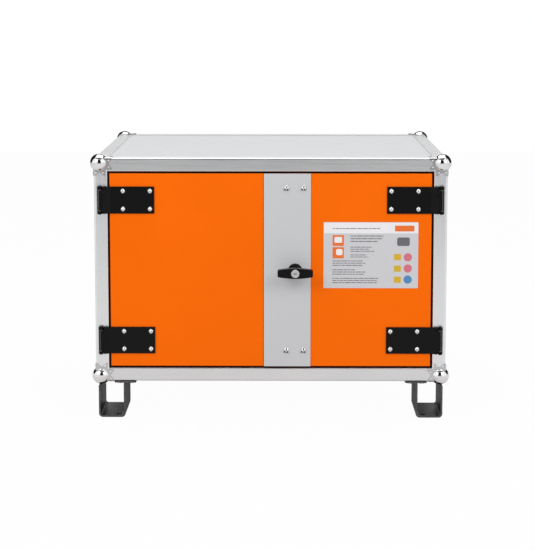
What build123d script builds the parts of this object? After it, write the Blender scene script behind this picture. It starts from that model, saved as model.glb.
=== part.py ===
"""Battery cabinet: a flight-case frame with ball corners, insulated walls, two doors on strap hinges,
a rod lock behind a wing handle, one shelf and four bent steel feet.

Millimetres. X runs to the right, Y to the back, Z up. The doors face -Y. The origin lies on the
floor, at the centre of the four floor holes.
"""
import os
from math import acos, atan2, cos, pi, radians, sin, tan

from build123d import *

# Body and frame
body_width = 782.0
body_depth = 642.0
body_height = 502.0
foot_height = 83.0
profile_size = 30.0
profile_wall = 2.0
profile_round = 4.0
opening_round = 2.0

# Ball corners
ball_radius = 20.5
ball_inset = 11.5
corner_plate = 1.5
corner_leg = 26.0
corner_reach = 29.0
corner_notch = 9.0
notch_side = 1.5
plug_depth = 12.0

# Walls: outer sheet, then insulating board down to the inner liner
sheet = 2.0
sheet_recess = 1.5
side_wall = 45.0
shelf_sheet = 1.5

# Doors
door_gap = 4.5
door_thickness = 36.0
door_skin = 1.5
door_return = 12.0
meeting_x = -15.0
strip_clearance = 0.5
meeting_gap = 3.0
meeting_bevel = 3.5

# Seal
seal_clearance = 0.5
seal_set_back = 2.5
seal_flange = 2.7

# Strap hinges
hinge_from_door_end = 59.0
hinge_height = 60.0
hinge_leaf = 2.5
frame_leaf = 2.0
axis_in_from_side = 13.0
axis_forward = 6.0
knuckle_radius = 5.5
end_knuckle = 7.0
knuckle_gap = 0.2
knuckle_side_gap = 1.0
pin_radius = 2.5
pin_play = 0.05
pin_head_radius = 3.6
pin_head = 1.5
strap_length = 99.0
crank_start = 2.5
leaf_corner_round = 0.8
rivet_first = 9.5
rivet_pitch_x = 60.0
rivet_pitch_z = 40.0
rivet_radius = 2.4
rivet_head_radius = 5.0
rivet_head = 2.6
fastener_play = 0.1

# Cover strip
strip_width = 104.0
strip_sheet = 2.0
strip_bolt_pitch = 38.0
strip_bolt_top = 31.5
strip_bolt_bottom = 37.0
bolt_radius = 3.0
bolt_head_radius = 6.5
bolt_head = 4.0

# Handle and rod lock
lock_from_strip_edge = 69.5
spindle_radius = 5.0
spindle_hole_play = 0.6
bearing_play = 0.05
rosette_radius = 16.0
rosette_height = 8.0
stem_radius = 10.0
wing_length = 78.0
wing_height = 22.6
wing_end_height = 15.0
wing_thickness = 16.0
wing_proud = 47.0
wing_corner_round = 3.0
wing_edge_round = 1.6
plug_radius = 9.0
plug_length = 14.0
plug_proud = 0.8
key_slot_length = 8.0
key_slot_width = 2.0
key_slot_depth = 8.0

# Rack and pinion
gear_module = 1.5
pinion_teeth = 12
pressure_angle = radians(20.0)
addendum_factor = 0.7
dedendum_factor = 1.0
tooth_backlash = 0.25
pinion_width = 10.0
rack_teeth = 7
rod_side = 8.0
rod_stand_off = 13.0
rod_point = 2.0
rod_tip_gap = 1.5
lock_sheet = 2.0
lock_case_height = 80.0
lock_case_width = 52.0
lock_bridge_height = 26.0
rod_play = 0.15

# Rod guides and keepers
guide_plate = 4.0
guide_width = 54.0
guide_height = 18.0
guide_wall = 4.0
keeper_sheet = 3.0
keeper_width = 36.0
keeper_depth = 26.0
keeper_play = 1.0
keeper_pocket = 14.0

# Shelf and its ledges
shelf_level = 330.0
shelf_side_play = 2.0
shelf_front_room = 47.0
shelf_back_room = 16.0
shelf_lip = 22.0
ledge_leg = 24.0
ledge_setback = 10.0
slot_length = 90.0
slot_width = 12.0
slot_columns = 5
slot_rows = 3
slot_pitch_x = 122.0
slot_pitch_y = 130.0

# Feet
foot_plate = 4.0
foot_depth = 125.0
foot_width = 60.0
foot_inset = 5.6
foot_bend = 9.0
foot_lip = 23.0
foot_flange_inner = 26.0
foot_flange_round = 5.0
foot_ball_drop = 11.0
foot_clearance = 0.5
floor_hole_radius = 5.5
floor_hole_in = 15.0
floor_hole_from_side = 41.9
foot_bolt_head = 3.5
foot_bolt_head_radius = 5.5
foot_bolt_grip = 8.0
foot_bolt_edge = 11.0

# Worked out from the sizes above
half_width = body_width / 2
half_depth = body_depth / 2
front = -half_depth
bottom = foot_height
top = foot_height + body_height
clear_width = half_width - profile_size
clear_depth = half_depth - profile_size
clear_bottom = bottom + profile_size
clear_top = top - profile_size

door_side = clear_width - door_gap
door_bottom = clear_bottom + door_gap
door_top = clear_top - door_gap
door_back = front + door_thickness
left_door_edge = meeting_x - strip_clearance
right_door_edge = left_door_edge + meeting_gap

seal_back = door_back + 0.3 + seal_flange
liner_side = half_width - side_wall
liner_bottom = bottom + side_wall
liner_top = top - side_wall
liner_back = half_depth - side_wall

hinge_x = half_width - axis_in_from_side
hinge_y = front - axis_forward
hinge_levels = (door_bottom + hinge_from_door_end, door_top - hinge_from_door_end)
leaf_end = door_side - strap_length

lock_x = meeting_x + lock_from_strip_edge
lock_z = (door_bottom + door_top) / 2
strip_front = front - strip_sheet
strip_bolt_levels = (door_bottom + strip_bolt_bottom, door_top - strip_bolt_top)
pitch_radius = gear_module * pinion_teeth / 2
addendum = addendum_factor * gear_module
dedendum = dedendum_factor * gear_module
tooth_pitch = pi * gear_module
rod_y = door_back + rod_stand_off
rod_offset = pitch_radius + dedendum + rod_side / 2
bridge_inner = rod_y + pinion_width / 2 + 1.0
bridge_outer = bridge_inner + lock_sheet
keeper_levels = (liner_bottom + keeper_sheet, liner_top - keeper_sheet)

foot_x = half_width - foot_inset
foot_flange_x = foot_x - foot_width + foot_plate / 2
foot_notch = ball_inset + corner_reach + foot_clearance
foot_flange_end = half_width - foot_notch

sides = (("left", -1), ("right", 1))
ends = (("front", -1), ("rear", 1))
heights = (("bottom", -1), ("top", 1))


# ---------------------------------------------------------------- helpers
def block(x0, x1, y0, y1, z0, z1):
    centre = ((x0 + x1) / 2, (y0 + y1) / 2, (z0 + z1) / 2)
    return Pos(*centre) * Box(abs(x1 - x0), abs(y1 - y0), abs(z1 - z0))


def rod_along_y(radius, x, z, y0, y1):
    return Pos(x, (y0 + y1) / 2, z) * Rot(90, 0, 0) * Cylinder(radius, abs(y1 - y0))


def rod_along_z(radius, x, y, z0, z1):
    return Pos(x, y, (z0 + z1) / 2) * Cylinder(radius, abs(z1 - z0))


def dome(radius, height, x, z, base_y):
    """A round head standing on the plane y = base_y, towards -Y."""
    sphere_radius = (radius**2 + height**2) / (2 * height)
    ball = Pos(x, base_y - height + sphere_radius, z) * Sphere(sphere_radius)
    wide = sphere_radius + 1
    return ball - block(x - wide, x + wide, base_y, base_y + 2 * wide, z - wide, z + wide)


def face_from(points):
    return make_face(Polyline(*points, close=True))


def solids_of(shapes):
    return Compound(children=[solid for shape in shapes for solid in shape.solids()])


def flipped(shape, sign_x=1, sign_y=1, sign_z=1):
    for sign, plane in ((sign_x, Plane.YZ), (sign_y, Plane.XZ), (sign_z, Plane.XY)):
        if sign < 0:
            shape = mirror(shape, about=plane)
    return shape


def save(name, shape):
    export_step(shape, f"parts/{name}.step")


# ---------------------------------------------------------------- frame
def profile(length, rounded):
    """A square tube along +Z; rounded maps a corner (sign_x, sign_y) to its outer radius."""
    half = profile_size / 2
    section = Rectangle(profile_size, profile_size)
    for (sign_x, sign_y), radius in rounded.items():
        corner = section.vertices().sort_by_distance((sign_x * half, sign_y * half, 0))[0]
        section = fillet(corner, radius)
    section -= Rectangle(profile_size - 2 * profile_wall, profile_size - 2 * profile_wall)
    return extrude(section, length)


def body_envelope(grow=0.0):
    size = (body_width + 2 * grow, body_depth + 2 * grow, body_height + 2 * grow)
    shape = Pos(0, 0, (bottom + top) / 2) * Box(*size)
    return fillet(shape.edges(), profile_round + grow)


def post(sign_x, sign_y, envelope):
    rounded = {(1, -1): profile_round}
    if sign_y < 0:
        rounded[(-1, -1)] = opening_round
    tube = profile(body_height, rounded)
    tube = Pos(half_width - profile_size / 2, front + profile_size / 2, bottom) * tube
    return flipped(tube, sign_x, -sign_y) & envelope


def cross_rail(sign_y, sign_z):
    """A rail along X; the front ones round off towards the door opening too."""
    rounded = {(1, -1): profile_round}
    if sign_y < 0:
        rounded[(-1, -1)] = opening_round
    tube = profile(2 * clear_width, rounded)
    tube = Pos(clear_width, 0, 0) * Rot(0, -90, 0) * tube
    tube = Pos(0, front + profile_size / 2, body_height / 2 - profile_size / 2) * tube
    tube = flipped(tube, sign_y=-sign_y, sign_z=sign_z)
    return Pos(0, 0, (bottom + top) / 2) * tube


def side_rail(sign_x, sign_z):
    tube = profile(2 * clear_depth, {(1, 1): profile_round})
    tube = Pos(0, clear_depth, 0) * Rot(90, 0, 0) * tube
    tube = Pos(half_width - profile_size / 2, 0, body_height / 2 - profile_size / 2) * tube
    return Pos(0, 0, (bottom + top) / 2) * flipped(tube, sign_x=sign_x, sign_z=sign_z)


def corner_octant(size, radius):
    """The inside of a corner at the origin, opening towards +X, +Y and +Z, with rounded edges."""
    cube = Pos(size / 2, size / 2, size / 2) * Box(size, size, size)
    near = [edge for edge in cube.edges() if edge.center().length < size * 0.6]
    return fillet(near, radius)


def ball_corner():
    """One ball corner with the case corner at the origin: a ball, three folded arms and a post plug."""
    arm_end = ball_inset + corner_reach
    skin = Pos(-corner_plate, -corner_plate, -corner_plate) * corner_octant(
        2 * arm_end, profile_round + corner_plate)
    arm = block(-corner_plate, corner_leg, -corner_plate, corner_leg, -corner_plate, arm_end)
    notch_points = [(notch_side, arm_end + 1), (corner_leg - notch_side, arm_end + 1),
                    (corner_leg / 2, arm_end - corner_notch)]
    notch = extrude(Plane.XZ * face_from(notch_points), corner_leg, both=True)
    turn = Axis((0, 0, 0), (1, 1, 1))
    diagonal = Plane((0, 0, 0), x_dir=(0, 0, 1), z_dir=(1, -1, 0))
    arm = arm - notch - mirror(notch, about=diagonal)
    arms = arm + arm.rotate(turn, 120) + arm.rotate(turn, 240)
    ball = Pos(ball_inset, ball_inset, ball_inset) * Sphere(ball_radius)
    shell = ball + (arms & skin)
    shell -= corner_octant(3 * arm_end, profile_round)
    plug_start = profile_wall
    plug_end = profile_size - profile_wall
    plug = block(plug_start, plug_end, plug_start, plug_end, 0, plug_depth)
    return shell + (plug & corner_octant(3 * arm_end, profile_round))


def sheets():
    """Five outer sheets, set a little behind the faces of the frame."""
    inner = sheet_recess + sheet
    level = (bottom + top) / 2
    height = clear_top - clear_bottom
    flat = Pos(0, 0, top - inner + sheet / 2) * Box(2 * clear_width, 2 * clear_depth, sheet)
    upright = Pos(half_width - inner + sheet / 2, 0, level) * Box(sheet, 2 * clear_depth, height)
    back = Pos(0, half_depth - inner + sheet / 2, level) * Box(2 * clear_width, sheet, height)
    low = block(-clear_width, clear_width, -clear_depth, clear_depth, bottom + sheet_recess, bottom + inner)
    return {"top_panel": flat, "bottom_panel": low, "right_panel": upright,
            "left_panel": flipped(upright, sign_x=-1), "rear_panel": back}


def rod_pocket(sign_z):
    """Room in the roof or floor board for a rod that has passed its keeper."""
    half = rod_side / 2 + keeper_play + 1.0
    x = lock_x + sign_z * rod_offset
    start = liner_top if sign_z > 0 else liner_bottom
    return block(x - half, x + half, rod_y - half, rod_y + half, start, start + sign_z * keeper_pocket)


def boards():
    """Insulating boards: a core between the profiles and an inner step that covers them."""
    core = half_width - sheet_recess - sheet
    side = block(clear_width, core, -clear_depth, clear_depth, clear_bottom, clear_top)
    side += block(liner_side, clear_width, seal_back, liner_back, liner_bottom, liner_top)
    roof = block(-clear_width, clear_width, -clear_depth, clear_depth, clear_top, top - sheet_recess - sheet)
    roof += block(-clear_width, clear_width, seal_back, clear_depth, liner_top, clear_top)
    floor = block(-clear_width, clear_width, -clear_depth, clear_depth, bottom + sheet_recess + sheet,
                  clear_bottom)
    floor += block(-clear_width, clear_width, seal_back, clear_depth, clear_bottom, liner_bottom)
    back_core = half_depth - sheet_recess - sheet
    rear = block(-clear_width, clear_width, clear_depth, back_core, clear_bottom, clear_top)
    rear += block(-clear_width, clear_width, liner_back, clear_depth, liner_bottom, liner_top)
    return {"roof_board": roof - rod_pocket(1), "floor_board": floor - rod_pocket(-1),
            "right_board": side, "left_board": flipped(side, sign_x=-1), "rear_board": rear}


def door_seal():
    """A rubber ring in the gap round the doors, with a flange that their backs close on."""
    level = (bottom + top) / 2
    height = clear_top - clear_bottom
    seal_front = front + seal_set_back
    flange_front = seal_back - seal_flange
    inner_side = door_side + seal_clearance
    inner_height = door_top - door_bottom + 2 * seal_clearance
    ring = block(-clear_width, clear_width, seal_front, seal_back, clear_bottom, clear_top)
    ring -= Pos(0, (seal_front + flange_front) / 2, level) * Box(
        2 * inner_side, flange_front - seal_front, inner_height)
    hole = Box(2 * liner_side, 4 * seal_flange, height - 2 * (liner_bottom - clear_bottom))
    return ring - Pos(0, seal_back, level) * hole


# ---------------------------------------------------------------- doors
def rivet_points():
    first = leaf_end + rivet_first
    return [(first + column * rivet_pitch_x, level + row * rivet_pitch_z / 2)
            for level in hinge_levels for column in (0, 1) for row in (-1, 1)]


def door_blank(meeting, margin=0.0):
    """The right-hand door as a solid, or its inside when margin is the skin's thickness."""
    slope = meeting_bevel / door_thickness
    low, high = front + margin, door_back
    edge = meeting + margin
    points = [(edge + slope * margin, low), (door_side - margin, low), (door_side - margin, high),
              (edge + slope * door_thickness, high)]
    blank = extrude(face_from(points), door_top - door_bottom - 2 * margin)
    return Pos(0, 0, door_bottom + margin) * blank


def door_shell(meeting, holes):
    """Folded steel tray of a right-hand door and the insulating core inside it."""
    tray = door_blank(meeting)
    front_edges = tray.faces().sort_by(Axis.Y)[0].edges()
    tray = fillet(front_edges, door_skin)
    core = door_blank(meeting, door_skin)
    window_low = door_back - door_skin
    window = block(meeting + meeting_bevel + door_return, door_side - door_return, window_low, door_back,
                   door_bottom + door_return, door_top - door_return)
    core -= block(meeting - 1, door_side + 1, window_low, door_back + 1, door_bottom - 1, door_top + 1)
    core += window
    skin = tray - core
    for hole in holes:
        skin -= hole
        core -= hole
    return skin, core


def hinge_leaf_section():
    """Plan of the cranked strap from its free end to the side of the barrel."""
    start = door_side - crank_start
    end_x = hinge_x - knuckle_radius - knuckle_side_gap
    end_y = hinge_y - knuckle_radius
    outer = front - hinge_leaf
    angle = atan2(outer - end_y, end_x - start)
    rise = hinge_leaf / cos(angle)
    bend = start + (rise - hinge_leaf) / tan(angle)
    return [(leaf_end, front), (bend, front), (end_x, end_y + rise), (end_x, end_y), (start, outer),
            (leaf_end, outer)]


def door_strap(level):
    """The door's half of a hinge: strap, crank and the long middle knuckle."""
    half = hinge_height / 2
    middle = half - end_knuckle - knuckle_gap
    strap = Pos(0, 0, level - half) * extrude(face_from(hinge_leaf_section()), hinge_height)
    ends = strap.edges().filter_by(Axis.Y).group_by(Axis.X)[0]
    strap = fillet(ends, leaf_corner_round)
    side = hinge_x - knuckle_radius - knuckle_side_gap
    strap += block(side, hinge_x, hinge_y - knuckle_radius, hinge_y - knuckle_radius + hinge_leaf,
                   level - middle, level + middle)
    strap += rod_along_z(knuckle_radius, hinge_x, hinge_y, level - middle, level + middle)
    strap -= rod_along_z(pin_radius + pin_play, hinge_x, hinge_y, level - half, level + half)
    for x, z in rivet_points():
        strap -= rod_along_y(rivet_radius + fastener_play, x, z, front + 1, front - hinge_leaf - 1)
    return strap


def post_leaf(level):
    """The frame's half of a hinge: a plate on the post and the two end knuckles."""
    half = hinge_height / 2
    plate_side = clear_width + opening_round
    barrel_side = hinge_x - knuckle_radius - knuckle_side_gap
    leaf = block(plate_side, barrel_side, front - frame_leaf, front, level - half, level + half)
    for sign in (-1, 1):
        low, high = level + sign * (half - end_knuckle), level + sign * half
        leaf += block(barrel_side, hinge_x + knuckle_radius, front - frame_leaf, front, low, high)
        leaf += block(hinge_x - knuckle_radius, hinge_x + knuckle_radius, hinge_y, front, low, high)
        leaf += rod_along_z(knuckle_radius, hinge_x, hinge_y, low, high)
    return leaf - rod_along_z(pin_radius, hinge_x, hinge_y, level - half, level + half)


def hinge_pin(level):
    half = hinge_height / 2
    pin = rod_along_z(pin_radius, hinge_x, hinge_y, level - half, level + half)
    for sign in (-1, 1):
        low, high = level + sign * half, level + sign * (half + pin_head)
        pin += rod_along_z(pin_head_radius, hinge_x, hinge_y, low, high)
    return pin


def hinge_rivets():
    rivets = []
    for x, z in rivet_points():
        head = dome(rivet_head_radius, rivet_head, x, z, front - hinge_leaf)
        rivets.append(head + rod_along_y(rivet_radius, x, z, front - hinge_leaf, front + door_skin))
    return solids_of(rivets)


def rivet_holes():
    return [rod_along_y(rivet_radius + fastener_play, x, z, front - 1, front + door_skin)
            for x, z in rivet_points()]


# ---------------------------------------------------------------- strip, handle and lock
def strip_bolt_points():
    return [(lock_x + sign * strip_bolt_pitch / 2, z) for z in strip_bolt_levels for sign in (-1, 1)]


def spindle_hole():
    return rod_along_y(spindle_radius + spindle_hole_play, lock_x, lock_z, strip_front - 1, door_back + 1)


def strip_bolt_holes():
    return [rod_along_y(bolt_radius + fastener_play, x, z, strip_front - 1, door_back + guide_plate + 1)
            for x, z in strip_bolt_points()]


def cover_strip():
    strip = block(meeting_x, meeting_x + strip_width, strip_front, front, door_bottom, door_top)
    for hole in strip_bolt_holes() + [spindle_hole()]:
        strip -= hole
    return strip


def strip_bolts():
    bolts = []
    for x, z in strip_bolt_points():
        shank = rod_along_y(bolt_radius, x, z, strip_front, door_back + guide_plate)
        bolts.append(dome(bolt_head_radius, bolt_head, x, z, strip_front) + shank)
    return solids_of(bolts)


def handle_rosette():
    rosette = dome(rosette_radius, rosette_height, lock_x, lock_z, strip_front)
    return rosette - rod_along_y(stem_radius + bearing_play, lock_x, lock_z, strip_front + 1,
                                 strip_front - rosette_height - 1)


def wing_outline():
    half = wing_length / 2
    rise = wing_height / 2
    end = wing_end_height / 2
    upper = ThreePointArc((-half, end), (0, rise), (half, end))
    lower = ThreePointArc((half, -end), (0, -rise), (-half, -end))
    outline = make_face(upper + Line((half, end), (half, -end)) + lower + Line((-half, -end), (-half, end)))
    return fillet(outline.vertices(), wing_corner_round)


def wing_handle():
    """Wing knob on a round stem, bored for the key plug in front and for the spindle behind."""
    face = front - wing_proud
    back = face + wing_thickness
    wing = extrude(Pos(lock_x, face, lock_z) * Rot(90, 0, 0) * wing_outline(), -wing_thickness)
    wing = fillet(wing.faces().sort_by(Axis.Y)[0].edges() + wing.faces().sort_by(Axis.Y)[-1].edges(),
                  wing_edge_round)
    wing += rod_along_y(stem_radius, lock_x, lock_z, back - 1, strip_front)
    wing -= rod_along_y(plug_radius, lock_x, lock_z, face - 1, face + plug_length)
    return wing - rod_along_y(spindle_radius + fastener_play / 2, lock_x, lock_z, back + 2, strip_front + 1)


def lock_plug():
    face = front - wing_proud
    plug = rod_along_y(plug_radius - bearing_play, lock_x, lock_z, face - plug_proud, face + plug_length)
    plug = chamfer(plug.faces().sort_by(Axis.Y)[0].edges(), 0.5)
    half = key_slot_length / 2
    slot = block(lock_x - half, lock_x + half, face - plug_proud - 1, face + key_slot_depth,
                 lock_z - key_slot_width / 2, lock_z + key_slot_width / 2)
    return plug - slot


def involute(angle):
    return tan(angle) - angle


def tooth_half_angle(radius):
    """Half the angle that a pinion tooth takes up at a radius on its involute flank."""
    base = pitch_radius * cos(pressure_angle)
    at_pitch = (tooth_pitch / 2 - tooth_backlash) / 2 / pitch_radius
    return at_pitch + involute(pressure_angle) - involute(acos(min(1.0, base / radius)))


def pinion_tooth():
    """One tooth pointing along +X: radial below the base circle, involute above it."""
    base = pitch_radius * cos(pressure_angle)
    tip = pitch_radius + addendum
    root = pitch_radius - dedendum - 0.5
    radii = [base + (tip - base) * step / 4 for step in range(5)]
    flank = [(r * cos(tooth_half_angle(r)), r * sin(tooth_half_angle(r))) for r in radii]
    foot_angle = tooth_half_angle(base)
    foot = (root * cos(foot_angle), root * sin(foot_angle))
    upper = [foot] + flank
    lower = [(x, -y) for x, y in reversed(upper)]
    return face_from(upper + lower)


def lock_pinion():
    """Pinion and spindle in one piece; a tooth points at each rack when the rods are drawn in."""
    root = pitch_radius - dedendum
    gear = Circle(root)
    for index in range(pinion_teeth):
        gear += Rot(0, 0, index * 360 / pinion_teeth) * pinion_tooth()
    gear = Pos(lock_x, rod_y, lock_z) * Rot(90, 0, 0) * extrude(gear, pinion_width / 2, both=True)
    stem_socket = front - wing_proud + wing_thickness + 2.5
    return gear + rod_along_y(spindle_radius, lock_x, lock_z, stem_socket, bridge_outer)


def rack_profile():
    """Rack and bar in the XZ plane, pitch line on x = pitch_radius, a gap at z = 0, top towards +Z."""
    flank = tan(pressure_angle)
    tip_half = tooth_pitch / 4 - addendum * flank
    root_half = tooth_pitch / 4 + dedendum * flank
    near = pitch_radius - addendum
    root = pitch_radius + dedendum
    lowest = -(rack_teeth - 2.5) * tooth_pitch
    points = []
    for index in range(rack_teeth):
        centre = lowest + index * tooth_pitch
        points += [(root, centre - root_half), (near, centre - tip_half), (near, centre + tip_half),
                   (root, centre + root_half)]
    return points, root, lowest - tooth_pitch


def lock_rod(sign_z):
    """A square rod with a rack at its inner end; the upper one runs right of the pinion."""
    points, root, low_end = rack_profile()
    tip = (liner_top - keeper_sheet - rod_tip_gap if sign_z > 0
           else 2 * lock_z - liner_bottom - keeper_sheet - rod_tip_gap) - lock_z
    outer = root + rod_side
    shape = points + [(root, tip - rod_point), (root + rod_point, tip), (outer - rod_point, tip),
                      (outer, tip - rod_point), (outer, low_end), (root, low_end)]
    rod = extrude(Plane.XZ * face_from(shape), rod_side / 2, both=True)
    rod = flipped(rod, sign_x=sign_z, sign_z=sign_z)
    return Pos(lock_x, rod_y, lock_z) * rod


def lock_case():
    """Open channel on the door's back with a bridge that carries the end of the spindle."""
    half_w, half_h = lock_case_width / 2, lock_case_height / 2
    case = block(lock_x - half_w, lock_x + half_w, door_back, door_back + lock_sheet, lock_z - half_h,
                 lock_z + half_h)
    for sign in (-1, 1):
        outer, inner = lock_x + sign * half_w, lock_x + sign * (half_w - lock_sheet)
        case += block(inner, outer, door_back, bridge_outer, lock_z - half_h, lock_z + half_h)
    bridge = lock_bridge_height / 2
    case += block(lock_x - half_w, lock_x + half_w, bridge_inner, bridge_outer, lock_z - bridge, lock_z + bridge)
    return case - rod_along_y(spindle_radius + bearing_play, lock_x, lock_z, door_back - 1, bridge_outer + 1)


def rod_guides():
    """A plate on the strip's bolts at each end of the door, with a collar round the rod."""
    guides = []
    for sign_z, z in zip((-1, 1), strip_bolt_levels):
        x = lock_x + sign_z * rod_offset
        low, high = z - guide_height / 2, z + guide_height / 2
        room = rod_side / 2 + rod_play
        half = guide_width / 2
        guide = block(lock_x - half, lock_x + half, door_back, door_back + guide_plate, low, high)
        collar = room + guide_wall
        guide += block(x - collar, x + collar, door_back + guide_plate, rod_y + collar, low, high)
        guide -= block(x - room, x + room, rod_y - room, rod_y + room, low - 1, high + 1)
        for hole in strip_bolt_holes():
            guide -= hole & block(-half_width, half_width, front, door_back + guide_plate, low, high)
        guides.append(guide)
    return solids_of(guides)


def rod_keepers():
    keepers = []
    for sign_z, edge in zip((-1, 1), keeper_levels):
        x = lock_x + sign_z * rod_offset
        wall = edge + sign_z * keeper_sheet
        room = rod_side / 2 + keeper_play
        half = keeper_width / 2
        plate = block(x - half, x + half, seal_back, seal_back + keeper_depth, edge, wall)
        keepers.append(plate - block(x - room, x + room, rod_y - room, rod_y + room, edge - 9, edge + 9))
    return solids_of(keepers)


# ---------------------------------------------------------------- inside
def shelf():
    """Slotted sheet tray with folded front and back lips."""
    half = liner_side - shelf_side_play
    front_edge, back_edge = seal_back + shelf_front_room, liner_back - shelf_back_room
    level = shelf_level
    tray = block(-half, half, front_edge, back_edge, level, level + shelf_sheet)
    lip_half = liner_side - ledge_leg - 2 * shelf_side_play
    for edge, sign in ((front_edge, 1), (back_edge, -1)):
        fold = edge + sign * shelf_sheet
        tray += block(-lip_half, lip_half, edge, fold, level - shelf_lip, level + shelf_sheet)
    middle = (front_edge + back_edge) / 2
    slot = extrude(SlotOverall(slot_length, slot_width), 4 * shelf_sheet, both=True)
    for place in GridLocations(slot_pitch_x, slot_pitch_y, slot_columns, slot_rows):
        tray -= Pos(0, middle, level) * place * slot
    return tray


def shelf_ledges():
    front_edge = seal_back + shelf_front_room + ledge_setback
    back_edge = liner_back - shelf_back_room
    inner, level = liner_side - ledge_leg, shelf_level
    flat = block(inner, liner_side, front_edge, back_edge, level - shelf_sheet, level)
    upright = block(liner_side - shelf_sheet, liner_side, front_edge, back_edge, level - ledge_leg, level)
    ledge = flat + upright
    return solids_of([ledge, flipped(ledge, sign_x=-1)])


# ---------------------------------------------------------------- feet
def foot_bolt_points():
    """Two bolts through the top flange into the cross rail and one through the lip into the side rail."""
    rail_y = front + profile_size / 2
    first = foot_flange_x - foot_flange_inner + foot_bolt_edge
    second = foot_flange_end - foot_bolt_edge
    lip_y = front + (foot_notch + foot_depth) / 2
    return [(first, rail_y), (second, rail_y), (foot_x - foot_lip / 2, lip_y)]


def foot():
    """Right front foot: a bent strap with a lip under the side rail and a flange under the cross rail."""
    inner_x = foot_x - foot_width
    under = bottom - foot_plate
    outline = block(inner_x, foot_x, front, front + foot_depth, 0, bottom)
    outline = fillet(outline.edges().filter_by(Axis.Y).group_by(Axis.Z)[0], foot_bend)
    hollow = block(inner_x + foot_plate, foot_x - foot_plate, front, front + foot_depth, foot_plate, bottom)
    hollow = fillet(hollow.edges().filter_by(Axis.Y).group_by(Axis.Z)[0], foot_bend - foot_plate)
    strap = outline - hollow
    strap += block(foot_x - foot_lip, foot_x, front, front + foot_depth, under, bottom)
    flange_start = foot_flange_x - foot_flange_inner
    flange = block(flange_start, foot_flange_end, front, front + foot_depth, under, bottom)
    strap += fillet(flange.edges().filter_by(Axis.Z), foot_flange_round)
    ball_room = bottom - foot_ball_drop
    strap -= block(foot_flange_end, half_width, front - 1, front + foot_notch, ball_room, bottom + 1)
    hole_x, hole_y = half_width - floor_hole_from_side - foot_inset, front + floor_hole_in
    strap -= rod_along_z(floor_hole_radius, hole_x, hole_y, -1, foot_plate + 1)
    for x, y in foot_bolt_points():
        strap -= rod_along_z(bolt_radius + fastener_play, x, y, under - 1, bottom + 1)
    return strap


def foot_bolts():
    bolts = []
    under = bottom - foot_plate
    for x, y in foot_bolt_points():
        head = rod_along_z(foot_bolt_head_radius, x, y, under - foot_bolt_head, under)
        bolt = head + rod_along_z(bolt_radius, x, y, under, under + foot_plate + foot_bolt_grip)
        bolts += [flipped(bolt, sign_x, -sign_y) for _, sign_x in sides for _, sign_y in ends]
    return solids_of(bolts)


def bolt_holes_in_rails():
    holes = [rod_along_z(bolt_radius + fastener_play, x, y, bottom - 1, bottom + profile_wall + 1)
             for x, y in foot_bolt_points()]
    return [flipped(hole, sign_x, -sign_y) for hole in holes for _, sign_x in sides for _, sign_y in ends]


# ---------------------------------------------------------------- writing the parts
def write_frame():
    envelope = body_envelope()
    holes = bolt_holes_in_rails()
    corner = ball_corner()
    for side, sign_x in sides:
        for end, sign_y in ends:
            save(f"post_{end}_{side}", post(sign_x, sign_y, envelope))
            for height, sign_z in heights:
                z = top if sign_z > 0 else bottom
                placed = Pos(sign_x * half_width, sign_y * half_depth, z) * flipped(
                    corner, -sign_x, -sign_y, -sign_z)
                save(f"ball_corner_{height}_{end}_{side}", placed)
        for height, sign_z in heights:
            rail = side_rail(sign_x, sign_z)
            if sign_z < 0:
                for hole in holes:
                    rail -= hole
            save(f"rail_{height}_{side}", rail)
    for end, sign_y in ends:
        for height, sign_z in heights:
            rail = cross_rail(sign_y, sign_z)
            if sign_z < 0:
                for hole in holes:
                    rail -= hole
            save(f"rail_{height}_{end}", rail)


def write_walls():
    for name, shape in {**sheets(), **boards()}.items():
        save(name, shape)
    save("door_seal", door_seal())
    save("shelf", shelf())
    save("shelf_ledges", shelf_ledges())
    save("rod_keepers", rod_keepers())


def write_feet():
    blank = foot()
    for side, sign_x in sides:
        for end, sign_y in ends:
            save(f"foot_{end}_{side}", flipped(blank, sign_x, -sign_y))
    save("foot_bolts", foot_bolts())


def write_doors():
    lock_holes = strip_bolt_holes() + [spindle_hole()]
    right_skin, right_core = door_shell(right_door_edge, rivet_holes() + lock_holes)
    left_skin, left_core = door_shell(-left_door_edge, rivet_holes())
    straps = solids_of([door_strap(level) for level in hinge_levels])
    frame_leaves = [post_leaf(level) for level in hinge_levels]
    pins = [hinge_pin(level) for level in hinge_levels]
    save("right_door_skin", right_skin)
    save("right_door_board", right_core)
    save("right_hinge_leaves", straps)
    save("right_hinge_rivets", hinge_rivets())
    save("left_door_skin", flipped(left_skin, sign_x=-1))
    save("left_door_board", flipped(left_core, sign_x=-1))
    save("left_hinge_leaves", flipped(straps, sign_x=-1))
    save("left_hinge_rivets", flipped(hinge_rivets(), sign_x=-1))
    save("frame_hinge_leaves", solids_of(frame_leaves + [flipped(leaf, sign_x=-1) for leaf in frame_leaves]))
    save("hinge_pins", solids_of(pins + [flipped(pin, sign_x=-1) for pin in pins]))


def write_lock():
    save("cover_strip", cover_strip())
    save("strip_bolts", strip_bolts())
    save("handle_rosette", handle_rosette())
    save("wing_handle", wing_handle())
    save("lock_plug", lock_plug())
    save("lock_pinion", lock_pinion())
    save("lock_case", lock_case())
    save("rod_guides", rod_guides())
    save("upper_rod", lock_rod(1))
    save("lower_rod", lock_rod(-1))


os.makedirs("parts", exist_ok=True)
write_frame()
write_walls()
write_feet()
write_doors()
write_lock()
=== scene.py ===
import math
import random

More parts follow.
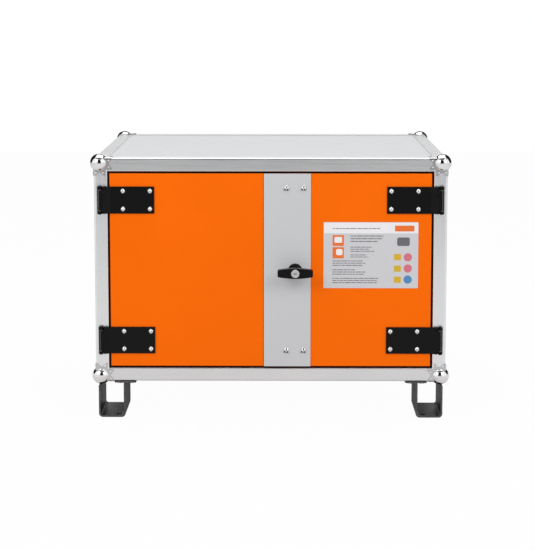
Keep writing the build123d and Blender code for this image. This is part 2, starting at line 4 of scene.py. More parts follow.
import bpy
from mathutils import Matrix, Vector


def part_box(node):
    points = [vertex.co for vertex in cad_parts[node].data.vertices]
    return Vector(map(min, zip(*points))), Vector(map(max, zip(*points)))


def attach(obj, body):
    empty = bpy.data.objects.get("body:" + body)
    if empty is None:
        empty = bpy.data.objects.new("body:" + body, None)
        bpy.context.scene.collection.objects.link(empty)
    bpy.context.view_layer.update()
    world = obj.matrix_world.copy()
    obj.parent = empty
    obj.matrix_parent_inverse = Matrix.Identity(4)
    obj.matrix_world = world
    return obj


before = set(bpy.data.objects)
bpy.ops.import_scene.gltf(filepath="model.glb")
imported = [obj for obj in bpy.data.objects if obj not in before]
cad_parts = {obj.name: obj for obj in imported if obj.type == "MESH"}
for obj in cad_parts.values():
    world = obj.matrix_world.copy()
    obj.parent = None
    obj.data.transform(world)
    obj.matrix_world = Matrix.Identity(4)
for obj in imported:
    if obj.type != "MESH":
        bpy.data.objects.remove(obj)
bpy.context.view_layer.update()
print("frame loaded")


# node sockets as numbers that add and multiply, and the materials made from them
class Signal:
    def __init__(self, finish, socket):
        self.finish = finish
        self.socket = socket

    def maths(self, operation, first, second):
        return self.finish.node("ShaderNodeMath", {"operation": operation}, {0: first, 1: second})

    def __add__(self, other):
        return self.maths("ADD", self, other)

    def __sub__(self, other):
        return self.maths("SUBTRACT", self, other)

    def __rsub__(self, other):
        return self.maths("SUBTRACT", other, self)

    def __mul__(self, other):
        return self.maths("MULTIPLY", self, other)

    __radd__ = __add__
    __rmul__ = __mul__


class Finish:
    def __init__(self, owner, shader="Principled BSDF"):
        owner.use_nodes = True
        self.owner = owner
        self.tree = owner.node_tree
        self.shader = self.tree.nodes[shader]

    def feed(self, socket, value):
        if isinstance(value, Signal):
            self.tree.links.new(value.socket, socket)
        else:
            socket.default_value = value

    def node(self, kind, settings=None, values=None, output=0):
        made = self.tree.nodes.new(kind)
        for key, value in (settings or {}).items():
            setattr(made, key, value)
        for key, value in (values or {}).items():
            self.feed(made.inputs[key], value)
        return Signal(self, made.outputs[output])

    def set(self, **values):
        for key, value in values.items():
            self.feed(self.shader.inputs[key.replace("_", " ")], value)

    def place(self, stretch=(1, 1, 1)):
        coords = self.node("ShaderNodeTexCoord", output="Object")
        return self.node("ShaderNodeMapping", {}, {"Vector": coords, "Scale": stretch})

    def noise(self, scale, detail=3.0, stretch=(1, 1, 1), roughness=0.5):
        return self.node("ShaderNodeTexNoise", {}, {
            "Vector": self.place(stretch), "Scale": scale, "Detail": detail, "Roughness": roughness})

    def spread(self, signal, low, high, fromLow=0.3, fromHigh=0.7):
        return self.node("ShaderNodeMapRange", {}, {
            "Value": signal, "From Min": fromLow, "From Max": fromHigh, "To Min": low, "To Max": high})

    def blend(self, factor, first, second):
        return self.node("ShaderNodeMix", {"data_type": "RGBA"}, {0: factor, 6: first, 7: second}, 2)

    def bump(self, height, strength, distance):
        self.set(Normal=self.node("ShaderNodeBump", {}, {
            "Height": height, "Strength": strength, "Distance": distance}))


def newFinish(name):
    return Finish(bpy.data.materials.new(name))


def grey(level, warm=0.0):
    return (level * (1 + warm), level, level * (1 - warm), 1)


def shade(colour, factor):
    return tuple(channel * factor for channel in colour[:3]) + (1,)


def powderCoat(name, colour, rough, peel=0.05, gloss=0.3, cloud=0.06):
    finish = newFinish(name)
    patches = finish.spread(finish.noise(6, 2), 0, 1)
    grain = finish.noise(900, 2)
    finish.set(Base_Color=finish.blend(patches, shade(colour, 1 - cloud), colour),
               Roughness=finish.spread(finish.noise(40, 3), rough - 0.04, rough + 0.05),
               Specular_IOR_Level=gloss)
    finish.bump(grain, peel, 0.0004)
    return finish.owner


def footCoat(name, colour):
    # textured black, paler on the cut ends of the bent strap, where thin worn paint and a painted highlight
    # are shown
    finish = newFinish(name)
    split = finish.node("ShaderNodeSeparateXYZ", {}, {"Vector": finish.place()}, "Y")
    depth = split.maths("ABSOLUTE", split, 0)
    wearAndHighlight = finish.spread(depth, 0, 1, *strapEnd) * finish.spread(finish.noise(90, 3), 0.5, 1)
    texture = finish.noise(1100, 3)
    finish.set(Base_Color=finish.blend(wearAndHighlight, colour, grey(0.10)),
               Roughness=finish.spread(texture, 0.34, 0.46), Specular_IOR_Level=0.25)
    finish.bump(texture, 0.3, 0.0004)
    return finish.owner


def aluminium(name, axis, level):
    finish = newFinish(name)
    stretch = [1.0, 1.0, 1.0]
    stretch[axis] = drawnStretch
    drawn = finish.noise(700, 3, stretch)
    soft = finish.noise(9, 2)
    tone = finish.spread(drawn, 0, 1) * 0.6 + finish.spread(soft, 0, 1) * 0.4
    finish.set(Base_Color=finish.blend(tone, grey(level - 0.04, -0.01), grey(level + 0.03, -0.01)),
               Metallic=1.0, Roughness=finish.spread(drawn, 0.26, 0.36))
    finish.bump(drawn, 0.05, 0.0003)
    return finish.owner


def chrome(name):
    # mirror bright on the ball itself, satin on the arms that reach along the frame, and darker there, a
    # painted shade
    finish = newFinish(name)
    low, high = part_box("ball_corner_bottom_front_left")[0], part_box("ball_corner_top_rear_right")[1]
    middle = [(low[i] + high[i]) / 2 for i in range(3)]
    ball = [(high[i] - low[i]) / 2 - ballRadius for i in range(3)]
    centred = finish.node("ShaderNodeVectorMath", {"operation": "SUBTRACT"}, {0: finish.place(), 1: middle})
    folded = finish.node("ShaderNodeVectorMath", {"operation": "ABSOLUTE"}, {0: centred})
    away = finish.node("ShaderNodeVectorMath", {"operation": "DISTANCE"}, {0: folded, 1: ball}, "Value")
    arm = finish.spread(away, 0, 1, ballRadius + armFrom, ballRadius + armFull)
    smudge = finish.noise(60, 4)
    rolled = finish.spread(finish.noise(420, 3), 0.20, 0.30)
    finish.set(Base_Color=finish.blend(arm, grey(0.86), grey(0.60)), Metallic=1.0,
               Roughness=finish.spread(smudge, 0.03, 0.08) * (1 - arm) + rolled * arm)
    finish.bump(finish.noise(120, 2), 0.03, 0.0006)
    return finish.owner


def zincSteel(name, level, rough):
    finish = newFinish(name)
    cells = finish.node("ShaderNodeTexVoronoi", {}, {"Vector": finish.place(), "Scale": 240}, "Color")
    tone = finish.spread(finish.node("ShaderNodeSeparateColor", {}, {"Color": cells}), 0, 1, 0, 1)
    finish.set(Base_Color=finish.blend(tone, grey(level * 0.88), grey(level)), Metallic=1.0,
               Roughness=finish.spread(finish.noise(300), rough - 0.06, rough + 0.08))
    finish.bump(finish.noise(500, 2), 0.06, 0.0003)
    return finish.owner


def rubber(name):
    finish = newFinish(name)
    bloom = finish.noise(30, 3)
    ground = finish.blend(finish.spread(bloom, 0, 1), (0.006, 0.003, 0.003, 1), (0.010, 0.005, 0.005, 1))
    finish.set(Base_Color=ground, Roughness=finish.spread(bloom, 0.62, 0.8), Specular_IOR_Level=0.05)
    finish.bump(finish.noise(1200, 2), 0.1, 0.0003)
    return finish.owner


def mouldedPlastic(name):
    finish = newFinish(name)
    grain = finish.noise(1600, 3)
    finish.set(Base_Color=finish.blend(finish.spread(finish.noise(25), 0, 1), grey(0.002), grey(0.004)),
               Roughness=finish.spread(grain, 0.20, 0.30), Specular_IOR_Level=0.14)
    finish.bump(grain, 0.1, 0.0003)
    return finish.owner


def fibreBoard(name):
    finish = newFinish(name)
    fibres = finish.noise(260, 5, (1, 1, 4), 0.65)
    specks = finish.spread(finish.noise(900, 2), 0, 1, 0.62, 0.72)
    ground = finish.blend(finish.spread(fibres, 0, 1), grey(0.50, 0.02), grey(0.60, 0.02))
    finish.set(Base_Color=finish.blend(specks * 0.5, ground, grey(0.36, 0.03)),
               Roughness=finish.spread(fibres, 0.78, 0.92))
    finish.bump(fibres, 0.25, 0.0006)
    return finish.owner


def printedColour(name, colour):
    finish = newFinish(name)
    finish.set(Base_Color=finish.blend(finish.spread(finish.noise(700), 0, 1), shade(colour, 0.94), colour),
               Roughness=finish.spread(finish.noise(200), 0.36, 0.46))
    return finish.owner


# the ball's radius, how far outside it the arms take over, and how far forward and back the strap is cut
ballRadius, armFrom, armFull = 0.0205, 0.0002, 0.0008
strapEnd = (0.3203, 0.3208)
drawnStretch = 0.012
paints = {
    "orange": (0.95, 0.148, 0.001, 1),
    "sheetGrey": (0.55, 0.555, 0.565, 1),
    "stripGrey": (0.57, 0.58, 0.595, 1),
    "shelfGrey": (0.48, 0.49, 0.50, 1),
    "black": (0.0030, 0.0030, 0.0032, 1),
    "footBlack": (0.009, 0.009, 0.0095, 1),
}

finishes = {
    "door_skin": powderCoat("orangePowderCoat", paints["orange"], 0.42, 0.05, 0.05, 0.03),
    "panel": powderCoat("greyPowderCoat", paints["sheetGrey"], 0.42, 0.05, 0.3, 0.02),
    "cover_strip": powderCoat("stripPowderCoat", paints["stripGrey"], 0.40, 0.05, 0.2, 0.02),
    "shelf": powderCoat("shelfPowderCoat", paints["shelfGrey"], 0.42, 0.06),
    "hinge": powderCoat("blackSatinCoat", paints["black"], 0.25, 0.05, 0.14),
    "foot": footCoat("footCoat", paints["footBlack"]),
    "ball": chrome("polishedChrome"),
    "bright": zincSteel("brightZinc", 0.80, 0.22),
    # pale satin grey for the knuckle trim, a painted highlight on the seam strips
    "trim": powderCoat("seamHighlightAndWasherCoat", (0.20, 0.20, 0.205, 1), 0.22, 0.03, 0.5),
    "lock": zincSteel("lockZinc", 0.62, 0.32),
    "plug": zincSteel("satinNickel", 0.72, 0.24),
    "seal": rubber("blackRubber"),
    "handle": mouldedPlastic("blackPlastic"),
    "board": fibreBoard("fibreBoard"),
    # one aluminium at three levels by direction: a painted shade on the rails along the depth and a painted
    # highlight on the uprights
    "profileX": aluminium("profileAlongWidth", 0, 0.84),
    "profileY": aluminium("profileAlongDepth", 1, 0.61),
    "profileZ": aluminium("profileUpright", 2, 0.92),
}


def finishFor(node):
    rules = [
        ("post_", "profileZ"), ("rail_top_left", "profileY"), ("rail_top_right", "profileY"),
        ("rail_bottom_left", "profileY"), ("rail_bottom_right", "profileY"), ("rail_", "profileX"),
        ("ball_corner", "ball"), ("foot_bolts", "bright"), ("foot_", "foot"), ("door_seal", "seal"),
        ("shelf", "shelf"), ("cover_strip", "cover_strip"), ("strip_bolts", "bright"), ("lock_plug", "plug"),
        ("wing_handle", "handle"), ("handle_rosette", "handle"), ("hinge_pins", "hinge"),
    ]
    for start, key in rules:
        if node.startswith(start):
            return finishes[key]
    for end, key in (("rivets", "bright"), ("hinge_leaves", "hinge"), ("door_skin", "door_skin"),
                     ("panel", "panel"), ("board", "board")):
        if node.endswith(end):
            return finishes[key]
    return finishes["lock"]


for nodeName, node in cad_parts.items():
    node.data.materials.clear()
    node.data.materials.append(finishFor(nodeName))
print("frame finished in", len(finishes), "materials")


# tools for new pieces
def deselectAll():
    for obj in bpy.context.selected_objects:
        obj.select_set(False)


def startPiece(name, add, **settings):
    deselectAll()
    add(**settings)
    piece = bpy.context.object
    piece.name = name
    return piece


def settle(piece):
    deselectAll()
    piece.select_set(True)
    bpy.context.view_layer.objects.active = piece
    bpy.ops.object.transform_apply(location=True, rotation=True, scale=True)


def joined(name, pieces):
    deselectAll()
    for piece in pieces:
        piece.select_set(True)
    bpy.context.view_layer.objects.active = pieces[0]
    if len(pieces) > 1:
        bpy.ops.object.join()
    piece = bpy.context.object
    piece.name = name
    settle(piece)
    return piece


domeShape = {"rings": 12, "smoothAngle": 40}


def button(name, radius, height, material, sides):
    # a low domed head on the XY plane, standing up along +Z
    piece = startPiece(name, bpy.ops.mesh.primitive_uv_sphere_add, segments=sides,
                       ring_count=domeShape["rings"], radius=radius, location=(0, 0, 0))
    bpy.ops.object.mode_set(mode="EDIT")
    bpy.ops.mesh.select_all(action="SELECT")
    bpy.ops.mesh.bisect(plane_co=(0, 0, 0), plane_no=(0, 0, 1), use_fill=True, clear_inner=True)
    bpy.ops.object.mode_set(mode="OBJECT")
    piece.scale = (1, 1, height / radius)
    settle(piece)
    bpy.ops.object.shade_smooth_by_angle(angle=math.radians(domeShape["smoothAngle"]))
    piece.data.materials.append(material)
    return piece


def copyOf(source, name, location, turn=(0, 0, 0)):
    piece = source.copy()
    piece.data = source.data.copy()
    piece.name = name
    piece.location = location
    piece.rotation_euler = turn
    bpy.context.scene.collection.objects.link(piece)
    return piece


def drop(piece):
    bpy.data.objects.remove(piece, do_unlink=True)


# rivets on the arms of the ball corners
cornerRivets = {"radius": 0.0020, "height": 0.0011, "sides": 14, "along": 0.0335, "prongs": (0.0058, 0.0204),
                "plateOut": 0.0015}
quarter = math.pi / 2
turnUp = {(0, -1): (0, -quarter, 0), (0, 1): (0, quarter, 0), (1, -1): (quarter, 0, 0),
          (1, 1): (-quarter, 0, 0), (2, -1): (math.pi, 0, 0), (2, 1): (0, 0, 0)}
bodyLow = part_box("post_front_left")[0]
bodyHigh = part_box("post_rear_right")[1]


def cornerRivetSpots(signs):
    # each arm runs along one axis and lies on the two faces beside it
    corner = [bodyHigh[i] if signs[i] > 0 else bodyLow[i] for i in range(3)]
    spots = []
    for armAxis in range(3):
        for faceAxis in range(3):
            if faceAxis == armAxis:
                continue
            sideAxis = 3 - armAxis - faceAxis
            for offset in cornerRivets["prongs"]:
                spot = list(corner)
                spot[armAxis] -= signs[armAxis] * cornerRivets["along"]
                spot[sideAxis] -= signs[sideAxis] * offset
                spot[faceAxis] += signs[faceAxis] * cornerRivets["plateOut"]
                spots.append((spot, turnUp[(faceAxis, signs[faceAxis])]))
    return spots


def makeCornerRivets():
    head = button("rivetHead", cornerRivets["radius"], cornerRivets["height"], finishes["bright"],
                  cornerRivets["sides"])
    for level, signZ in (("bottom", -1), ("top", 1)):
        for end, signY in (("front", -1), ("rear", 1)):
            for side, signX in (("left", -1), ("right", 1)):
                spots = cornerRivetSpots((signX, signY, signZ))
                copies = [copyOf(head, "head", spot, turn) for spot, turn in spots]
                piece = joined(f"corner_rivets_{level}_{end}_{side}", copies)
                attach(piece, "cabinet")
    drop(head)


makeCornerRivets()
print("corner rivets made")


# small sunk marks on the strip bolts and the hinge rivets, the bolts' black sockets a painted shade
fastenerMarks = {"socketRadius": 0.0019, "socketSides": 6, "pinRadius": 0.0011, "rim": 0.0003,
                 "setBack": 0.00012, "near": 0.008}
recessShape = {"sides": 14, "thick": 0.0004, "sunk": 0.00025}


def recess(name, sides, radius, rim, material):
    # a flat ring with its middle sunk below the rim, facing the front
    piece = startPiece(name, bpy.ops.mesh.primitive_cylinder_add, vertices=sides, radius=radius,
                       depth=recessShape["thick"], rotation=(quarter, 0, 0))
    settle(piece)
    bpy.ops.object.mode_set(mode="EDIT")
    bpy.ops.mesh.select_all(action="DESELECT")
    bpy.ops.object.mode_set(mode="OBJECT")
    for face in piece.data.polygons:
        face.select = face.normal.y < -0.9
    bpy.ops.object.mode_set(mode="EDIT")
    bpy.ops.mesh.select_mode(type="FACE")
    bpy.ops.mesh.inset(thickness=rim)
    bpy.ops.transform.translate(value=(0, recessShape["sunk"], 0))
    bpy.ops.object.mode_set(mode="OBJECT")
    piece.data.materials.append(material)
    return piece


def markSpots(node):
    # groups corners by how near they are to the first one met; these heads are wider than that reach,
    # so each one gives two or three spots beside its middle
    groups = []
    for corner in bpy.data.objects[node].data.vertices:
        spot = corner.co
        for group in groups:
            apart = group["first"] - spot
            if abs(apart.x) < fastenerMarks["near"] and abs(apart.z) < fastenerMarks["near"]:
                group["low"] = [min(a, b) for a, b in zip(group["low"], spot)]
                group["high"] = [max(a, b) for a, b in zip(group["high"], spot)]
                break
        else:
            groups.append({"first": spot.copy(), "low": list(spot), "high": list(spot)})
    return [((g["low"][0] + g["high"][0]) / 2, g["low"][1] + fastenerMarks["setBack"],
             (g["low"][2] + g["high"][2]) / 2) for g in groups]


def makeFastenerMarks():
    rim = fastenerMarks["rim"]
    socket = recess("socket", fastenerMarks["socketSides"], fastenerMarks["socketRadius"], rim,
                    finishes["hinge"])
    copies = [copyOf(socket, "socket", spot) for spot in markSpots("strip_bolts")]
    piece = joined("strip_bolt_socket_shades", copies)
    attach(piece, "right_door")
    drop(socket)
    pin = recess("pin", recessShape["sides"], fastenerMarks["pinRadius"], rim, finishes["lock"])
    for side in ("left", "right"):
        copies = [copyOf(pin, "pin", spot) for spot in markSpots(f"{side}_hinge_rivets")]
        piece = joined(f"{side}_rivet_pins", copies)
        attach(piece, f"{side}_door")
    drop(pin)


makeFastenerMarks()
print("fastener marks made")


# printed sheet on the right door, with plain marks in place of words and signs
# a block is left, right, top, bottom and corner round, and a set of rows left, right, top, count and
# thickness, all measured right and down from the sheet's top left corner
doorSheet = {
    "width": 0.210, "height": 0.148, "thick": 0.0004, "round": 0.0015, "roundSteps": 5,
    "fromStrip": 0.0285, "fromTop": 0.108, "ink": 0.00012, "line": 0.0016, "gap": 0.0052, "seed": 4,
    "header": (0.0008, 0.2092, 0.0008, 0.025),
    "rows": [(0.020, 0.135, 0.0135, 1, 1.0), (0.060, 0.135, 0.030, 3, 1.15), (0.060, 0.115, 0.055, 3, 0.9),
             (0.060, 0.100, 0.0725, 2, 0.9), (0.020, 0.110, 0.086, 3, 0.95), (0.020, 0.095, 0.106, 3, 0.95),
             (0.020, 0.125, 0.125, 3, 0.95)],
    "word": (0.004, 0.010), "wordGap": 0.0015, "ragged": 0.35, "overrun": 0.002,
    "orange": [(0.158, 0.201, 0.0075, 0.0205, 0.0005), (0.020, 0.045, 0.029, 0.053, 0.0005),
               (0.020, 0.045, 0.056, 0.081, 0.0005)],
    "white": [(0.024, 0.041, 0.033, 0.046, 0.002), (0.028, 0.042, 0.060, 0.074, 0.004)],
    "yellow": [(0.156, 0.172, 0.071, 0.085, 0.003), (0.156, 0.172, 0.097, 0.111, 0.003),
               (0.156, 0.172, 0.122, 0.136, 0.003)],
    "grey": (0.163, 0.191, 0.034, 0.053, 0.004),
    "discX": 0.187, "discRadius": 0.0092, "discSides": 32, "roseZ": (0.0785, 0.1035), "blueZ": 0.1285,
}
inks = {
    "paper": printedColour("sheetGround", (0.61, 0.61, 0.635, 1)),
    "header": printedColour("sheetHeader", (0.84, 0.83, 0.85, 1)),
    "text": printedColour("sheetGreyInk", (0.13, 0.135, 0.15, 1)),
    "orange": printedColour("sheetOrangeInk", (0.84, 0.16, 0.015, 1)),
    "yellow": printedColour("sheetYellowInk", (0.66, 0.42, 0.015, 1)),
    "rose": printedColour("sheetRoseInk", (0.66, 0.16, 0.22, 1)),
    "blue": printedColour("sheetBlueInk", (0.07, 0.24, 0.50, 1)),
    "white": printedColour("sheetWhiteInk", (0.85, 0.86, 0.87, 1)),
}
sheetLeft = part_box("cover_strip")[1][0] + doorSheet["fromStrip"]
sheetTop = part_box("right_door_skin")[1][2] - doorSheet["fromTop"]
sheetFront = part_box("right_door_skin")[0][1] - doorSheet["thick"]


def slab(name, x0, x1, z0, z1, front, thick, corner=0.0):
    # a thin upright plate, its four outline corners rounded where a round is given
    piece = startPiece(name, bpy.ops.mesh.primitive_cube_add, size=1, location=(
        (x0 + x1) / 2, front + thick / 2, (z0 + z1) / 2))
    piece.scale = (x1 - x0, thick, z1 - z0)
    settle(piece)
    if corner:
        bpy.ops.object.mode_set(mode="EDIT")
        bpy.ops.mesh.select_all(action="DESELECT")
        bpy.ops.object.mode_set(mode="OBJECT")
        for edge in piece.data.edges:
            ends = [piece.data.vertices[i].co for i in edge.vertices]
            edge.select = abs(ends[0].y - ends[1].y) > thick / 2
        bpy.ops.object.mode_set(mode="EDIT")
        bpy.ops.mesh.select_mode(type="EDGE")
        bpy.ops.mesh.bevel(offset=corner, segments=doorSheet["roundSteps"])
        bpy.ops.object.mode_set(mode="OBJECT")
    return piece


def inkBlock(x0, x1, z0, z1, corner=0.0):
    ink = doorSheet["ink"]
    return slab("ink", sheetLeft + x0, sheetLeft + x1, sheetTop - z1, sheetTop - z0,
                sheetFront - ink, ink, corner)


def inkDisc(z):
    ink = doorSheet["ink"]
    spot = (sheetLeft + doorSheet["discX"], sheetFront - ink / 2, sheetTop - z)
    piece = startPiece("ink", bpy.ops.mesh.primitive_cylinder_add, vertices=doorSheet["discSides"],
                       radius=doorSheet["discRadius"], depth=ink, location=spot, rotation=(quarter, 0, 0))
    settle(piece)
    return piece


def textRows(x0, x1, z, rows, thick):
    # rows of word-long dashes, of uneven length
    marks = []
    shortest, longer = doorSheet["word"]
    for row in range(rows):
        level = z + row * doorSheet["gap"] * thick
        end = x1 - random.random() * (x1 - x0) * doorSheet["ragged"]
        x = x0
        while x < end:
            word = shortest + random.random() * longer
            marks.append(inkBlock(x, min(x + word, end + doorSheet["overrun"]), level,
                                  level + doorSheet["line"] * thick))
            x += word + doorSheet["wordGap"]
    return marks


def finishInk(name, marks, ink):
    piece = joined(name, marks)
    piece.data.materials.clear()
    piece.data.materials.append(inks[ink])
    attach(piece, "right_door")


def raised(marks):
    # one ink's thickness further out
    for mark in marks:
        mark.location.y = -doorSheet["ink"]
    return marks


def makeDoorSheet():
    random.seed(doorSheet["seed"])
    ground = slab("door_sheet", sheetLeft, sheetLeft + doorSheet["width"], sheetTop - doorSheet["height"],
                  sheetTop, sheetFront, doorSheet["thick"], doorSheet["round"])
    finishInk("door_sheet", [ground], "paper")
    finishInk("sheet_header", [inkBlock(*doorSheet["header"])], "header")
    text = []
    for row in doorSheet["rows"]:
        text += textRows(*row)
    finishInk("sheet_lines", raised(text), "text")
    blocks = [inkBlock(*block) for block in doorSheet["orange"]]
    raised(blocks[:1])
    finishInk("sheet_orange", blocks, "orange")
    finishInk("sheet_white", raised([inkBlock(*pane) for pane in doorSheet["white"]]), "white")
    finishInk("sheet_yellow", [inkBlock(*block) for block in doorSheet["yellow"]], "yellow")
    finishInk("sheet_rose", [inkDisc(z) for z in doorSheet["roseZ"]], "rose")
    finishInk("sheet_blue", [inkDisc(doorSheet["blueZ"])], "blue")
    finishInk("sheet_grey_patch", [inkBlock(*doorSheet["grey"])], "text")


makeDoorSheet()
print("door sheet made")


# seams of the hinge knuckles as pale strips, a painted highlight, washers at the knuckle ends, and small
# black ringed discs beside them, a painted shade of small holes, level with the knuckles' front and clear of
# the straps
hingeTrim = {
    "knuckle": 0.0055, "half": 0.0300,
    "seams": (0.0015, -0.0034), "seamHalf": 0.00028, "seamThick": 0.0004, "seamOut": 0.00012,
    "washerAt": 0.0230, "washerRadius": 0.0057, "washerThick": 0.0006, "washerSides": 36,
    "washerEdge": 0.00012,
    "holeRadius": 0.0013, "holeRim": 0.0002, "holeIn": 0.0115, "holeAt": (0.0235, 0.0105), "holeBack": 0.0001,
}


def makeWasher():
    washer = startPiece("washer", bpy.ops.mesh.primitive_cylinder_add, vertices=hingeTrim["washerSides"],
                        radius=hingeTrim["washerRadius"], depth=hingeTrim["washerThick"])
    bpy.ops.object.mode_set(mode="EDIT")
    bpy.ops.mesh.select_all(action="SELECT")
    bpy.ops.mesh.bevel(offset=hingeTrim["washerEdge"], segments=1)
    bpy.ops.object.mode_set(mode="OBJECT")
    washer.data.materials.append(finishes["trim"])
    return washer


def makeSeamHighlight(x, axisY, offset, middle):
    face = axisY - math.sqrt(hingeTrim["knuckle"] ** 2 - offset ** 2) - hingeTrim["seamOut"]
    half, tall = hingeTrim["seamHalf"], hingeTrim["washerAt"]
    seam = slab("seam", x - half, x + half, middle - tall, middle + tall, face, hingeTrim["seamThick"])
    seam.data.materials.append(finishes["trim"])
    return seam


def makeHingeTrim():
    # the small holes are black discs, painted shade inside them
    hole = recess("hole", recessShape["sides"], hingeTrim["holeRadius"], hingeTrim["holeRim"],
                  finishes["seal"])
    washer = makeWasher()
    for side, sign in (("left", -1), ("right", 1)):
        low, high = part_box(f"{side}_hinge_leaves")
        axisX = (low[0] if sign < 0 else high[0]) - sign * hingeTrim["knuckle"]
        axisY = low[1] + hingeTrim["knuckle"]
        bright, holeShades = [], []
        for middle in (low[2] + hingeTrim["half"], high[2] - hingeTrim["half"]):
            for offset in hingeTrim["seams"]:
                bright.append(makeSeamHighlight(axisX + sign * offset, axisY, offset, middle))
            for end in (-1, 1):
                bright.append(copyOf(washer, "washer", (axisX, axisY, middle + end * hingeTrim["washerAt"])))
            for level in hingeTrim["holeAt"]:
                spot = (axisX - sign * hingeTrim["holeIn"], low[1] + hingeTrim["holeBack"], middle + level)
                holeShades.append(copyOf(hole, "hole", spot))
        trim = joined(f"{side}_knuckle_trim", bright)
        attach(trim, f"{side}_door")
        dots = joined(f"{side}_oil_hole_shades", holeShades)
        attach(dots, f"{side}_door")
    drop(hole)
    drop(washer)


makeHingeTrim()
print("hinge trim made")


# screws of the lock case and the shelf ledges
innerScrews = {"radius": 0.0040, "height": 0.0022, "sides": 18, "caseIn": 0.0095, "caseUp": 0.007,
               "caseBack": 0.002, "fromMiddle": 0.012, "ledgeIn": 0.0015, "ledgeUp": 0.010,
               "ledgeShares": (0.1, 0.5, 0.9)}


def caseScrews(head):
    low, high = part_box("lock_case")
    middle = (low.x + high.x) / 2
    copies = []
    for x in (low.x + innerScrews["caseIn"], high.x - innerScrews["caseIn"]):
        for z in (low.z + innerScrews["caseUp"], high.z - innerScrews["caseUp"]):
            if abs(x - middle) > innerScrews["fromMiddle"]:
                copies.append(copyOf(head, "head", (x, low.y + innerScrews["caseBack"], z), (-quarter, 0, 0)))
    return copies


def ledgeScrews(head):
    low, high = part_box("shelf_ledges")
    copies = []
    for sign, x in ((1, low.x + innerScrews["ledgeIn"]), (-1, high.x - innerScrews["ledgeIn"])):
        for share in innerScrews["ledgeShares"]:
            spot = (x, low.y + share * (high.y - low.y), low.z + innerScrews["ledgeUp"])
            copies.append(copyOf(head, "head", spot, (0, sign * quarter, 0)))
    return copies


def makeInnerScrews():
    head = button("screwHead", innerScrews["radius"], innerScrews["height"], finishes["bright"],
                  innerScrews["sides"])
    piece = joined("lock_case_screws", caseScrews(head))
    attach(piece, "right_door")
    piece = joined("ledge_screws", ledgeScrews(head))
    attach(piece, "cabinet")
    drop(head)


makeInnerScrews()
print("inner screws made")


# floor, lights, cards and camera; a light is place, aim, size and power, and a card place, size and finish
studio = {
    "floorSize": 12.0, "floorGrey": 0.62, "floorSeen": 0.97, "floorMirrored": 0.2, "ambient": 0.75,
    "aim": (0, -0.3, 0.35),
    "lights": {
        "keyLeft": ((-2.2, -3.0, 2.4), (0, -0.3, 0.35), (1.6, 1.6), 33.0),
        "keyRight": ((2.2, -3.0, 2.4), (0, -0.3, 0.35), (1.6, 1.6), 33.0),
        "topLight": ((0, 0.2, 3.2), (0, 0, 0.5), (2.6, 2.0), 32.0),
    },
    "cardGreys": {"blackCard": 0.012, "greyCard": 0.52},
    "cards": {
        "leftCard": ((-3.5, 1.9, 2.6), (5.4, 5.4), "blackCard"),
        "rightCard": ((3.5, 1.9, 2.6), (5.4, 5.4), "blackCard"),
        "rearTopCard": ((0, 2.9, 4.2), (5.0, 2.2), "blackCard"),
        "cameraCard": ((0, -3.4, 1.6), (2.4, 2.6), "blackCard"),
        "frontTopCard": ((0, -2.3, 3.3), (7.5, 1.2), "blackCard"),
        "frontLowCard": ((0, -6.6, 0.15), (7.0, 0.9), "greyCard"),
    },
}


def matteFinish(name, level):
    finish = newFinish(name)
    finish.set(Base_Color=grey(level), Roughness=0.9, Specular_IOR_Level=0.0)
    return finish


def makeFloor():
    # nearly plain white to the camera, a little white to mirrors, and a lit matte floor to everything else
    floor = startPiece("floor", bpy.ops.mesh.primitive_plane_add, size=studio["floorSize"])
    finish = matteFinish("paleFloor", studio["floorGrey"])
    seen = finish.node("ShaderNodeLightPath", output="Is Camera Ray")
    mirrored = finish.node("ShaderNodeLightPath", output="Is Glossy Ray")
    white = finish.node("ShaderNodeEmission", {}, {"Color": (1, 1, 1, 1), "Strength": 1.0})
    lit = Signal(finish, finish.shader.outputs[0])
    share = seen * studio["floorSeen"] + mirrored * studio["floorMirrored"]
    mix = finish.node("ShaderNodeMixShader", {}, {0: share, 1: lit, 2: white})
    finish.feed(finish.tree.nodes["Material Output"].inputs["Surface"], mix)
    floor.data.materials.append(finish.owner)


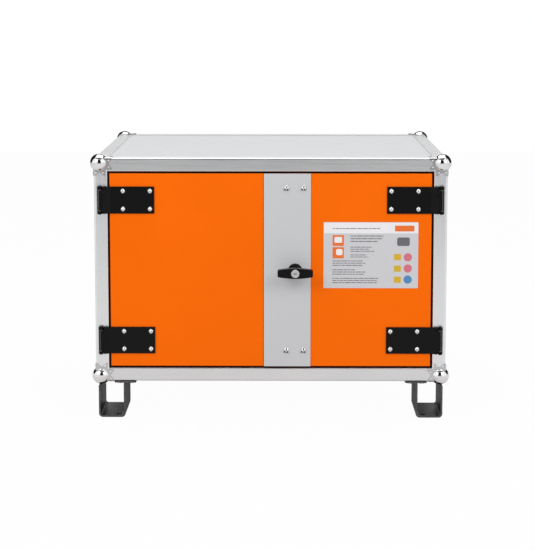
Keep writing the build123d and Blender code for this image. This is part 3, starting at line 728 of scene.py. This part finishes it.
def makeWorld():
    # white where it is seen, mirrored or looked at through glass, and dimmer as a light
    sky = Finish(bpy.data.worlds.new("paleStudio"), "Background")
    bpy.context.scene.world = sky.owner
    shown = sky.node("ShaderNodeLightPath", output="Is Camera Ray")
    for ray in ("Is Glossy Ray", "Is Transmission Ray"):
        shown = shown.maths("MAXIMUM", shown, sky.node("ShaderNodeLightPath", output=ray))
    sky.set(Color=(1, 1, 1, 1), Strength=sky.spread(shown, studio["ambient"], 1.0, 0.0, 1.0))


def facing(spot, aim):
    return (Vector(aim) - Vector(spot)).to_track_quat("-Z", "Y").to_euler()


def makeSoftbox(name, spot, aim, size, power):
    light = bpy.data.lights.new(name, "AREA")
    light.shape = "RECTANGLE"
    light.size, light.size_y = size
    light.energy = power
    lamp = bpy.data.objects.new(name, light)
    lamp.location = spot
    lamp.rotation_euler = facing(spot, aim)
    bpy.context.scene.collection.objects.link(lamp)


def makeCard(name, spot, size, finish):
    # a card that only glossy surfaces see
    card = startPiece(name, bpy.ops.mesh.primitive_plane_add, size=1)
    card.scale = (size[0], size[1], 1)
    card.location = spot
    card.rotation_euler = facing(spot, studio["aim"])
    settle(card)
    card.data.materials.append(finish.owner)
    card.visible_camera = card.visible_diffuse = card.visible_shadow = False
    card.visible_transmission = card.visible_volume_scatter = False


makeFloor()
makeWorld()
for name, light in studio["lights"].items():
    makeSoftbox(name, *light)
cardFinishes = {name: matteFinish(name, level) for name, level in studio["cardGreys"].items()}
for name, (spot, size, cardGrey) in studio["cards"].items():
    makeCard(name, spot, size, cardFinishes[cardGrey])

cameraSettings = {"place": (0.0237, -4.0365, 0.949), "pitch": 6.762, "yaw": -0.488, "sensor": 36,
                  "focalShare": 3.078, "shiftUp": -0.15, "clipEnd": 100}


def makeCamera():
    data = bpy.data.cameras.new("camera")
    data.sensor_width = cameraSettings["sensor"]
    data.lens = cameraSettings["sensor"] * cameraSettings["focalShare"]
    data.shift_y = cameraSettings["shiftUp"]
    data.clip_end = cameraSettings["clipEnd"]
    camera = bpy.data.objects.new("camera", data)
    camera.location = cameraSettings["place"]
    turn = (90 - cameraSettings["pitch"], 0, -cameraSettings["yaw"])
    camera.rotation_euler = [math.radians(angle) for angle in turn]
    bpy.context.scene.collection.objects.link(camera)
    bpy.context.scene.camera = camera


makeCamera()
bpy.context.scene.view_settings.view_transform = "Standard"
print("studio made")
